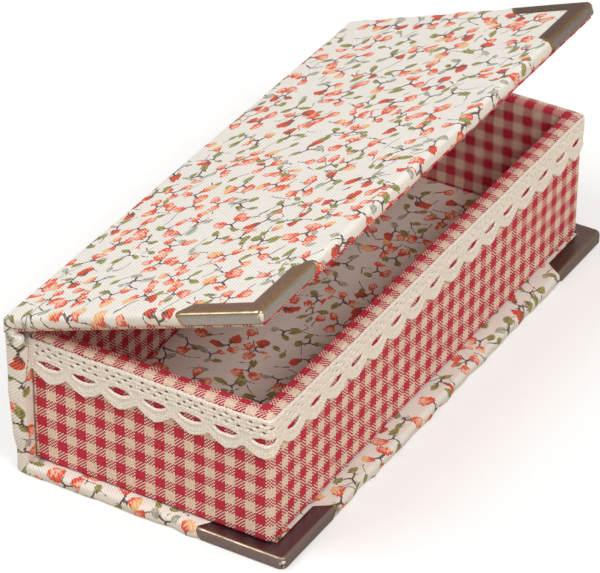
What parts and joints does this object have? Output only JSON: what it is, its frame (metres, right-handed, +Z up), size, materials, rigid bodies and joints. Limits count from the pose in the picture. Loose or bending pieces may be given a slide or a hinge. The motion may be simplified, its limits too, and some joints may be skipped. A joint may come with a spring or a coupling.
{
  "type": "glasses box",
  "caption": "Book-style glasses box: cloth-covered greyboard tray, base and spine, cloth-hinged lid, lace band and folded metal corners.",
  "frame": {"origin": "centre of the underside, over the cloth of the base", "axes": "+X along the box's length, +Y towards the spine with the opening side facing -Y, +Z up"},
  "size_m": [0.18, 0.084, 0.0776],
  "materials": {
    "floral_cloth": "matte",
    "gingham_cloth": "matte",
    "lace": "matte",
    "greyboard": "matte",
    "lining_card": "matte",
    "antique_bronze": "satin"
  },
  "bodies": {
    "box": {"base_board": "greyboard", "spine_board": "greyboard", "base_cover_cloth": "floral_cloth", "spine_cover_cloth": "floral_cloth", "tray_floor_board": "greyboard", "tray_front_board": "greyboard", "tray_back_board": "greyboard", "tray_left_board": "greyboard", "tray_right_board": "greyboard", "tray_wall_cloth": "gingham_cloth", "floor_lining_card": "lining_card", "floor_lining_cloth": "floral_cloth", "lace_trim": "lace", "base_corner_left": "antique_bronze", "base_corner_right": "antique_bronze", "hinge_cloth": "floral_cloth", "hinge_lining": "floral_cloth"},
    "lid": {"lid_board": "greyboard", "lid_cover_cloth": "floral_cloth", "lid_lining_card": "lining_card", "lid_lining_cloth": "gingham_cloth", "lid_corner_left": "antique_bronze", "lid_corner_right": "antique_bronze"}
  },
  "joints": [
    {"name": "lid_hinge", "type": "hinge", "parent": "box", "child": "lid", "pos_m": [0, 0.0413, 0.0439], "axis": [-1, 0, 0], "range_deg": [-20.8, 159.2], "deforming": ["hinge_cloth", "hinge_lining"]}
  ]
}
